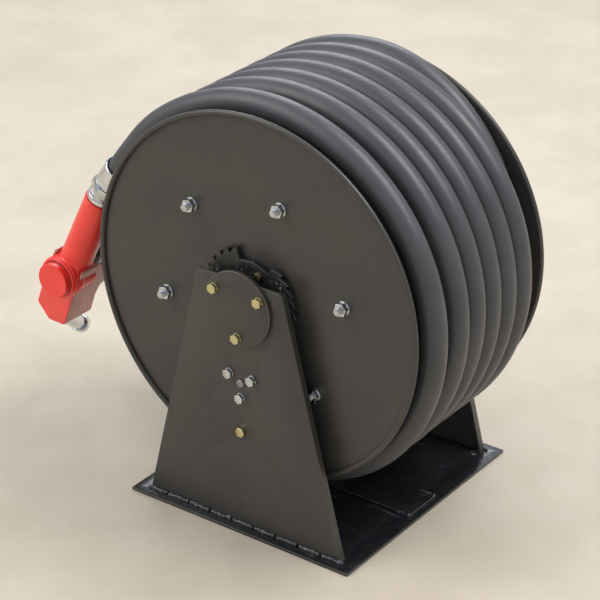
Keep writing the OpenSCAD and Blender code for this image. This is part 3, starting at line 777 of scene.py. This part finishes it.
@dataclass(frozen=True)
class CoilSpring:
    """The coil spring over the valve's stem, drawn at one length; the real one shortens as the stem rises.

    Attributes:
        node: CAD node that it stands for.
        joint: Joint that shortens the real spring; not used.
        axis_x: X of its axis, which runs along Y.
        axis_z: Z of its axis.
        moving_y: Y of the end that the stem pushes.
        fixed_y: Y of the end that stays.
        travel: How far the moving end goes; not used.
        radius: Radius to the middle of the wire.
        wire: Radius of the wire.
        coils: Number of turns.
        steps: Rings of the wire per turn.
    """

    node: str = "valve_spring"
    joint: str = "valve_lift"
    axis_x: float = -0.350398
    axis_z: float = 0.271994
    moving_y: float = -0.1305
    fixed_y: float = -0.1455
    travel: float = 0.0053
    radius: float = 0.0115
    wire: float = 0.001
    coils: float = 4.0
    steps: int = 36

    def build(self, kit: Kit) -> bpy.types.Object:
        """Builds the spring.

        Args:
            kit: The loaded frame.

        Returns:
            The piece, standing for its node.
        """
        sides, count = 10, int(self.coils * self.steps)
        rise = (self.fixed_y - self.moving_y + 2 * self.wire) / count
        verts = []
        for i in range(count + 1):
            turn = 2 * math.pi * i / self.steps
            middle = self.moving_y - self.wire + rise * i
            for k in range(sides):
                round_wire = 2 * math.pi * k / sides
                r = self.radius + self.wire * math.cos(round_wire)
                y = middle + self.wire * math.sin(round_wire)
                verts.append((self.axis_x + r * math.cos(turn), y, self.axis_z + r * math.sin(turn)))
        faces = [
            (
                i * sides + k, (i + 1) * sides + k, (i + 1) * sides + (k + 1) % sides,
                i * sides + (k + 1) % sides,
            )
            for i in range(count)
            for k in range(sides)
        ]
        ends = [tuple(range(sides)), tuple(count * sides + k for k in reversed(range(sides)))]
        mesh = solid_mesh(self.node, verts, faces + ends)
        piece = kit.stand_in(new_piece(self.node + "_coil", mesh, kit.finish_of(self.node)), self.node)
        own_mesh(piece)
        return piece


@dataclass(frozen=True)
class Moulding:
    """How a moulded cover's skin is rounded from its CAD shape.

    Attributes:
        node: CAD node that gives the shape.
        voxel_mm: Grain of the new skin.
        passes: Smoothing passes; each rounds an edge by about a third of a voxel.
    """

    node: str
    voxel_mm: float
    passes: int

    def build(self, kit: Kit) -> bpy.types.Object:
        """Builds the node again as one soft skin.

        Args:
            kit: The loaded frame.

        Returns:
            The piece, standing for its node.
        """
        piece = new_piece(
            self.node + "_skin", merged_copy(kit.frame["nodes"][self.node]), kit.finish_of(self.node)
        )
        remesh = piece.modifiers.new("skin", "REMESH")
        remesh.mode = "VOXEL"
        remesh.voxel_size = self.voxel_mm * MM
        remesh.use_smooth_shade = True
        smooth = piece.modifiers.new("round", "SMOOTH")
        smooth.factor = 0.5
        smooth.iterations = self.passes
        return kit.stand_in(settled(piece), self.node)


# ------------------------------------------------------------------------ hose


@dataclass
class Hose:
    """Rubber hose wound in three layers, with its free end leading to the nozzle.

    Angles are seen from the front, anticlockwise from +X. The route is traced
    from the riser outwards, so the angle grows all the way.

    Attributes:
        diameter: Outside diameter.
        axis_height: Height of the drum's axis.
        layer_radii: Centreline radius of each layer.
        inner_start: Angle and Y at which the hose leaves the riser.
        side_y: Y of the turns beside the front and the rear disc.
        outer_turns: Y of each turn of the outer layer, from the rear.
        crossing: Angles between which a turn crosses to the next one, out of sight.
        leaves_at: Angle at which the outer layer ends.
        tail: Points of the free end, as the CAD model has them.
        step: Distance from ring to ring along the hose.
        sides: Faces round the hose.
    """

    diameter: float = 0.038
    axis_height: float = 0.343
    layer_radii: tuple[float, float, float] = (0.186, 0.224, 0.262)
    inner_start: tuple[float, float] = (220.4, 0.125)
    side_y: tuple[float, float] = (-0.1298, 0.1298)
    outer_turns: tuple[float, ...] = (0.1298, 0.0915, 0.053, 0.0145, -0.0245, -0.064, -0.116)
    crossing: tuple[float, float] = (152.0, 328.0)
    leaves_at: float = 108.0
    tail: tuple[tuple[float, float, float], ...] = (
        (-0.111, -0.116, 0.5822),
        (-0.128, -0.1165, 0.574),
        (-0.152, -0.1175, 0.560),
        (-0.176, -0.119, 0.543),
        (-0.198, -0.1215, 0.522),
        (-0.215, -0.124, 0.5005),
        (-0.2298, -0.1257, 0.4809),
        (-0.2453, -0.126, 0.460),
        (-0.2525, -0.126, 0.4504),
    )
    step: float = 0.0125
    sides: int = 28

    def wound_point(self, angle: float, radius: float, y: float) -> tuple[float, float, float]:
        """Returns the point at an angle, radius and Y on the drum.

        Args:
            angle: Angle in degrees.
            radius: Distance from the axis.
            y: Place along the axis.

        Returns:
            The point.
        """
        a = math.radians(angle)
        return radius * math.cos(a), y, self.axis_height + radius * math.sin(a)

    @staticmethod
    def eased(value: float, low: float, high: float) -> float:
        """Returns 0 below low and 1 above high, with a smooth step between them.

        Args:
            value: Where to read the step.
            low: Start of the step.
            high: End of the step.

        Returns:
            The step's height.
        """
        t = min(1.0, max(0.0, (value - low) / (high - low)))
        return t * t * (3 - 2 * t)

    def inner_layers(self, step_deg: float) -> list[tuple[float, float, float]]:
        """Returns the route of the two hidden layers, which are plain helices.

        Args:
            step_deg: Angle from one point to the next.

        Returns:
            Points from the riser to where the outer layer starts to climb.
        """
        r1, r2, _ = self.layer_radii
        front, rear = self.side_y
        second = 5 - 6.75 * 360
        climb = second - 60
        first = self.inner_start[0] - 14 * 360
        points = []
        angle = first
        while angle < 5:
            if angle < climb:
                share = (angle - first) / (climb - first)
                y = self.inner_start[1] + share * (front - self.inner_start[1])
                radius = r1 + 0.003 * (1 - self.eased(angle, first, first + 25))
            elif angle < second:
                y, radius = front, r1 + (r2 - r1) * self.eased(angle, climb, second)
            else:
                y, radius = front + (angle - second) / (5 - second) * (rear - front), r2
            points.append(self.wound_point(angle, radius, y))
            angle += step_deg
        return points

    def outer_layer(self, step_deg: float) -> list[tuple[float, float, float]]:
        """Returns the route of the outer layer, whose turns are straight where they show.

        Args:
            step_deg: Angle from one point to the next.

        Returns:
            Points from the climb beside the rear disc to the start of the free end.
        """
        _, r2, r3 = self.layer_radii
        last = (len(self.outer_turns) - 1) * 360 + self.leaves_at
        points = []
        angle = 5.0
        while angle < last:
            turn = int((angle - self.crossing[0]) // 360 + 1)
            y = self.outer_turns[turn]
            if turn > 0:
                local = angle - (turn - 1) * 360
                share = self.eased(local, *self.crossing)
                y = self.outer_turns[turn - 1] + share * (
                    self.outer_turns[turn] - self.outer_turns[turn - 1]
                )
            radius = r2 + (r3 - r2) * self.eased(angle, 5, 92)
            # The last two turns are loose and hang a little where they face down.
            slack = {5: 0.0012, 6: 0.0028}.get(turn, 0.0)
            radius += slack * max(0.0, math.cos(math.radians(angle + 50))) ** 2
            if turn == 6:
                radius += 0.0016 * self.eased(angle, last - 60, last)
            wobble = 0.0003 * math.sin(math.radians(angle * 2.3)) + 0.0002 * math.sin(
                math.radians(angle * 5.1 + 40)
            )
            points.append(self.wound_point(angle, radius, y + wobble))
            angle += step_deg
        return points

    def route(self) -> np.ndarray:
        """Returns the whole centreline, evenly spaced, in metres.

        Returns:
            Rows of X, Y and Z.
        """
        rough = np.array(self.inner_layers(3.0) + self.outer_layer(3.0) + list(self.tail))
        rough = self._rounded(rough)
        along = np.concatenate([[0.0], np.cumsum(np.linalg.norm(np.diff(rough, axis=0), axis=1))])
        count = int(round(along[-1] / self.step)) + 1
        at = np.linspace(0, along[-1], count)
        return np.stack([np.interp(at, along, rough[:, i]) for i in range(3)], axis=1)

    @staticmethod
    def _rounded(points: np.ndarray) -> np.ndarray:
        """Runs a Catmull-Rom curve through the points, four steps to each.

        Args:
            points: Rows of X, Y and Z.

        Returns:
            The finer rows.
        """
        padded = np.vstack([2 * points[0] - points[1], points, 2 * points[-1] - points[-2]])
        p0, p1, p2, p3 = padded[:-3], padded[1:-2], padded[2:-1], padded[3:]
        rows = []
        for t in (0.0, 0.25, 0.5, 0.75):
            rows.append(
                0.5 * (
                    2 * p1 + (p2 - p0) * t + (
                        2 * p0 - 5 * p1 + 4 * p2 - p3
                    ) * t * t + (3 * p1 - p0 - 3 * p2 + p3) * t**3
                )
            )
        return np.vstack([np.stack(rows, axis=1).reshape(-1, 3), points[-1:]])

    def tube(self, path: np.ndarray) -> bpy.types.Mesh:
        """Makes the hose's skin, with metres along and round it as its UV map.

        Args:
            path: Centreline points.

        Returns:
            A closed tube.
        """
        n, k, r = len(path), self.sides, self.diameter / 2
        tangent = np.gradient(path, axis=0)
        tangent /= np.linalg.norm(tangent, axis=1, keepdims=True)
        axis_y = np.array([0.0, 1.0, 0.0])
        side = axis_y - tangent * (tangent @ axis_y)[:, None]
        side /= np.linalg.norm(side, axis=1, keepdims=True)
        up = np.cross(tangent, side)
        turn = np.arange(k) * 2 * math.pi / k
        ring = np.cos(turn)[None, :, None] * side[:, None, :] + np.sin(turn)[None, :, None] * up[:, None, :]
        verts = (path[:, None, :] + r * ring).reshape(-1, 3)
        i, j = np.meshgrid(np.arange(n - 1), np.arange(k), indexing="ij")
        following = (j + 1) % k
        quads = np.stack(
            [i * k + j, i * k + following, (i + 1) * k + following, (i + 1) * k + j], axis=-1
        ).reshape(-1, 4)
        faces = quads.tolist() + [list(range(k - 1, -1, -1)), list(range((n - 1) * k, n * k))]
        mesh = bpy.data.meshes.new("hose")
        mesh.from_pydata(verts.tolist(), [], faces)
        along = np.concatenate([[0.0], np.cumsum(np.linalg.norm(np.diff(path, axis=0), axis=1))])
        u = np.stack([along[i], along[i], along[i + 1], along[i + 1]], axis=-1).reshape(-1)
        v = np.stack([j, j + 1, j + 1, j], axis=-1).reshape(-1) * (2 * math.pi * r / k)
        uv = np.zeros((len(mesh.loops), 2))
        uv[: len(u), 0], uv[: len(v), 1] = u, v
        layer = mesh.uv_layers.new(name="along")
        layer.data.foreach_set("uv", uv.ravel())
        mesh.shade_smooth()
        return mesh

    def build(self, kit: Kit) -> tuple[bpy.types.Object, np.ndarray, float]:
        """Builds the hose, riding on the drum in place of its CAD solids.

        Args:
            kit: The loaded frame.

        Returns:
            The piece, its centreline and its length.
        """
        path = self.route()
        length = float(np.linalg.norm(np.diff(path, axis=0), axis=1).sum())
        piece = new_piece("hose", self.tube(path), HOSE_RUBBER)
        kit.stand_in(piece, "hose_winding", "hose_tail")
        LOG.info("hose is %.2f m long", length)
        return piece, path, length


# ----------------------------------------------------------------------- welds


@dataclass
class Welds:
    """Stitch welds that hold the uprights and the bar to the base plate.

    Attributes:
        foot_y: Y of the uprights' outer faces.
        floor_z: Height of the base plate's top.
        pitch: Distance from one stitch to the next.
        length: Length of a stitch.
        stitches: Stitches on each side of the middle.
        leg: Size of the bead.
        ripple: Distance from one ripple of a bead to the next.
        bar_x: X of the welds at the bar's ends.
        bar_y: Half the bar's width.
        seed: Seed of the beads' unevenness.
    """

    foot_y: float = 0.182
    floor_z: float = 0.004
    pitch: float = 0.038
    length: float = 0.030
    stitches: int = 4
    leg: float = 0.0035
    ripple: float = 0.0026
    bar_x: float = 0.1645
    bar_y: float = 0.032
    seed: int = 7

    def lines(self) -> bpy.types.Mesh:
        """Returns one edge along each stitch, in the corner that it fills.

        Returns:
            A mesh of loose edges.
        """
        runs = []
        for side in (-1, 1):
            for i in range(-self.stitches, self.stitches + 1):
                x, y = i * self.pitch, side * (self.foot_y + 0.0012)
                runs.append(
                    (
                        (x - self.length / 2, y, self.floor_z + 0.0012),
                        (x + self.length / 2, y, self.floor_z + 0.0012),
                    )
                )
            for x in (-self.bar_x, self.bar_x):
                y = side * self.bar_y
                runs.append(
                    (
                        (x - self.length / 3, y, self.floor_z + 0.0008),
                        (x + self.length / 3, y, self.floor_z + 0.0008),
                    )
                )
        mesh = bpy.data.meshes.new("weld_lines")
        mesh.from_pydata(
            [p for run in runs for p in run], [(2 * i, 2 * i + 1) for i in range(len(runs))], []
        )
        return mesh

    def tree(self) -> bpy.types.NodeTree:
        """Builds the node tree that lays overlapping ripples of weld along edges.

        Returns:
            The tree.
        """
        tree = bpy.data.node_groups.new("weld_ripples", "GeometryNodeTree")
        sockets = tree.interface
        sockets.new_socket("Lines", in_out="INPUT", socket_type="NodeSocketGeometry")
        for name in ("Ripple", "Leg"):
            sockets.new_socket(name, in_out="INPUT", socket_type="NodeSocketFloat")
        sockets.new_socket("Seed", in_out="INPUT", socket_type="NodeSocketInt")
        sockets.new_socket("Finish", in_out="INPUT", socket_type="NodeSocketMaterial")
        sockets.new_socket("Beads", in_out="OUTPUT", socket_type="NodeSocketGeometry")
        given = add_node(tree, "NodeGroupInput").outputs
        curve = add_node(tree, "GeometryNodeMeshToCurve", {"Mesh": given["Lines"]})
        inputs = {"Curve": curve.outputs["Curve"], "Length": given["Ripple"]}
        points = add_node(tree, "GeometryNodeResampleCurve", inputs, mode="LENGTH")
        jitter = add_node(
            tree,
            "FunctionNodeRandomValue",
            {0: (0.75, 0.8, 0.75), 1: (1.25, 1.3, 1.2), "Seed": given["Seed"]},
            data_type="FLOAT_VECTOR",
        )
        size = add_node(
            tree, "ShaderNodeVectorMath", {0: jitter.outputs[0], "Scale": given["Leg"]}, operation="SCALE"
        )
        tilt = add_node(
            tree,
            "FunctionNodeRandomValue",
            {0: (-0.5, -0.5, -0.5), 1: (0.5, 0.5, 0.5), "Seed": given["Seed"]},
            data_type="FLOAT_VECTOR",
        )
        ball = add_node(tree, "GeometryNodeMeshIcoSphere", {"Radius": 1.0, "Subdivisions": 3})
        placed = add_node(
            tree,
            "GeometryNodeInstanceOnPoints",
            {
                "Points": points.outputs["Curve"],
                "Instance": ball.outputs["Mesh"],
                "Rotation": tilt.outputs[0],
                "Scale": size.outputs["Vector"],
            },
        )
        real = add_node(tree, "GeometryNodeRealizeInstances", {"Geometry": placed.outputs["Instances"]})
        smooth = add_node(tree, "GeometryNodeSetShadeSmooth", {"Geometry": real.outputs["Geometry"]})
        dressed = add_node(
            tree, "GeometryNodeSetMaterial", {"Geometry": smooth.outputs[0], "Material": given["Finish"]}
        )
        add_node(tree, "NodeGroupOutput", {"Beads": dressed.outputs["Geometry"]})
        return tree

    def build(self, kit: Kit) -> bpy.types.Object:
        """Builds all the beads as one piece.

        Args:
            kit: The loaded frame.

        Returns:
            The piece, standing for the CAD node's plain fillets.
        """
        piece = new_piece("weld_beads_rippled", self.lines(), WELD)
        grow = piece.modifiers.new("ripples", "NODES")
        grow.node_group = self.tree()
        values = {"Ripple": self.ripple, "Leg": self.leg, "Seed": self.seed, "Finish": WELD.material()}
        for item in grow.node_group.interface.items_tree:
            if item.in_out == "INPUT" and item.name in values:
                grow[item.identifier] = values[item.name]
        return kit.stand_in(settled(piece), "weld_beads")


# ---------------------------------------------------------------- sub-assemblies


@dataclass
class Stand:
    """Base plate, bar, uprights, end cap and everything fixed to them."""

    edgings: tuple[Edging, ...] = (
        Edging("base_plate", 0.7, 2, True),
        Edging("base_bar", 0.6, 2, True),
        Edging("front_upright", 1.6, 3, True),
        Edging("rear_upright", 1.6, 3, True),
        Edging("end_cap", 0.9, 3, True),
        Edging("cap_bolts", 0.45),
        Edging("cap_washers", 0.3),
        Edging("cap_nuts", 0.4),
        Edging("pawl_bracket", 0.8),
        Edging("pawl_bolts", 0.45),
        Edging("pawl_washers", 0.3),
        Edging("pawl_pin", 0.6),
        Edging("anchor_screw", 0.45),
        Edging("rear_bearing", 1.0, 3),
        Edging("rear_bolts", 0.45),
        Edging("rear_washers", 0.3),
        Edging("rear_nuts", 0.4),
        Edging("shaft_collar", 0.5),
    )

    def build(self, kit: Kit) -> None:
        """Builds the stand's pieces and its welds.

        Args:
            kit: The loaded frame.
        """
        for edging in self.edgings:
            edging.build(kit)
        Welds().build(kit)


@dataclass
class Drum:
    """Discs, tie rods, ratchet wheel and hubs that turn with the hose."""

    edgings: tuple[Edging, ...] = (
        Edging("tie_nuts_front", 0.5),
        Edging("tie_nuts_rear", 0.5),
        Edging("tie_washers_front", 0.35),
        Edging("tie_washers_rear", 0.35),
        Edging("ratchet_wheel", 0.5, 2, True),
        Edging("hub_screws", 0.4),
        Edging("front_hub", 0.8),
        Edging("rear_hub", 0.8),
        Edging("tie_rods", 0.8),
    )

    discs: tuple[SpunDisc, ...] = (
        SpunDisc("front_disc", -0.150, 0.024), SpunDisc("rear_disc", 0.150, 0.0265)
    )

    def build(self, kit: Kit) -> None:
        """Builds the drum's discs and eased pieces, and gives its rods their thread.

        Args:
            kit: The loaded frame.
        """
        for disc in self.discs:
            disc.build(kit)
        for edging in self.edgings:
            piece = edging.build(kit)
            if edging.node == "tie_rods":
                piece.data.materials[0] = THREADED_ZINC.material()


@dataclass
class Nozzle:
    """Trigger gun with its vinyl covers, swivel and spout."""

    mouldings: tuple[Moulding, ...] = (
        Moulding("nozzle_cover", 1.1, 6),
        Moulding("cover_cap", 0.8, 4),
        Moulding("splash_skirt", 0.7, 3),
    )
    edgings: tuple[Edging, ...] = (
        Edging("hose_ferrule", 0.5),
        Edging("swivel_coupling", 0.6),
        Edging("swivel_tail", 0.6),
        Edging("nozzle_body", 1.0),
        Edging("valve_cap", 0.8),
        Edging("lever_guard", 1.6, 3),
        Edging("lever_pin", 0.5),
        Edging("spout_tip", 0.8),
        Edging("lever", 1.6, 3),
    )
    on_hose: tuple[str, ...] = ("hose_ferrule", "swivel_coupling", "swivel_tail")

    def build(self, kit: Kit) -> list[bpy.types.Object]:
        """Builds the gun's pieces.

        Args:
            kit: The loaded frame.

        Returns:
            The fittings on the hose's end, and the gun's CAD nodes that still show.
        """
        made = {shape.node: shape.build(kit) for shape in (*self.mouldings, *self.edgings, CoilSpring())}
        kept = [n for n, b in kit.body_of.items() if b in ("nozzle", "lever", "valve") and n not in made]
        return [made[n] for n in self.on_hose] + [kit.frame["nodes"][n] for n in kept]


# ---------------------------------------------------------------------- studio


@dataclass
class Studio:
    """Camera, floor and soft light.

    Attributes:
        azimuth: Camera's direction round the object, in degrees from -Y.
        elevation: Camera's height above the horizon, in degrees.
        roll: Camera's roll, in degrees.
        distance: Camera's distance from its target.
        target: Point in the middle of the view.
        lens_mm: Focal length on a 36 mm sensor.
    """

    azimuth: float = 36.44
    elevation: float = 27.26
    roll: float = -0.32
    distance: float = 3.130
    target: tuple[float, float, float] = (-0.0347, 0.0, 0.2675)
    lens_mm: float = 133.9

    def camera(self) -> bpy.types.Object:
        """Adds the scene's camera.

        Returns:
            The camera.
        """
        a, e = math.radians(self.azimuth), math.radians(self.elevation)
        back = Vector((math.sin(a) * math.cos(e), -math.cos(a) * math.cos(e), math.sin(e)))
        lens = bpy.data.cameras.new("camera")
        lens.sensor_width, lens.lens, lens.clip_end = 36.0, self.lens_mm, 100.0
        camera = bpy.data.objects.new("camera", lens)
        camera.rotation_mode = "QUATERNION"
        camera.location = Vector(self.target) + self.distance * back
        camera.rotation_quaternion = (-back).to_track_quat("-Z", "Y") @ Quaternion(
            (0, 0, 1), math.radians(self.roll)
        )
        bpy.context.scene.collection.objects.link(camera)
        bpy.context.scene.camera = camera
        return camera

    def floor(self) -> bpy.types.Object:
        """Adds the pale floor, which isn't part of the object.

        Returns:
            The floor.
        """
        mesh = bpy.data.meshes.new("floor")
        half, top = 12.0, -0.0005
        corners = [(-half, -half, top), (half, -half, top), (half, half, top), (-half, half, top)]
        mesh.from_pydata(corners, [], [(0, 1, 2, 3)])
        stone = Finish(
            "pale trowelled concrete", "#cdc1ae", "#c3b7a4", 220, roughness=0.7,
            relief=Relief.CASTING, relief_mm=3, depth_mm=0.1, wear=(Wear("#c2b6a4", 0.35, 60, cover=0.5),),
        )
        piece = new_piece("floor", mesh, stone)
        return piece

    def lights(self) -> None:
        """Adds an even pale sky and three large soft lights."""
        world = bpy.data.worlds.new("sky")
        world.use_nodes = True
        shade = world.node_tree.nodes["Background"]
        shade.inputs["Color"].default_value = linear("#dfe6ee")
        shade.inputs["Strength"].default_value = 0.7
        bpy.context.scene.world = world
        for name, place, size, watts, colour in (
            ("key", (1.5, 0.9, 2.9), 1.6, 72.0, "#ffffff"),
            ("fill", (-2.0, -1.8, 2.6), 2.4, 66.0, "#f6f4f0"),
            ("back", (-1.5, 2.1, 2.1), 1.8, 34.0, "#f4f7ff"),
        ):
            lamp = bpy.data.lights.new(name, "AREA")
            lamp.size, lamp.energy, lamp.color = size, watts, linear(colour)[:3]
            light = bpy.data.objects.new(name, lamp)
            light.location = place
            light.rotation_mode = "QUATERNION"
            light.rotation_quaternion = (Vector((0, 0, 0.3)) - Vector(place)).to_track_quat("-Z", "Y")
            bpy.context.scene.collection.objects.link(light)

    def build(self) -> None:
        """Adds everything but the camera."""
        self.floor()
        self.lights()
        bpy.context.scene.view_settings.view_transform = "Standard"


# ------------------------------------------------------------------------ main


def main() -> None:
    """Builds the whole visual model."""
    logging.basicConfig(level=logging.INFO, format="%(name)s: %(message)s")
    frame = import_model()
    kit = Kit(frame)
    studio = Studio()
    studio.camera()
    kit.dress_nodes()
    hose = Hose()
    piece, path, length = hose.build(kit)
    Stand().build(kit)
    Drum().build(kit)
    on_it = Nozzle().build(kit)
    studio.build()


if __name__ == "__main__":
    main()
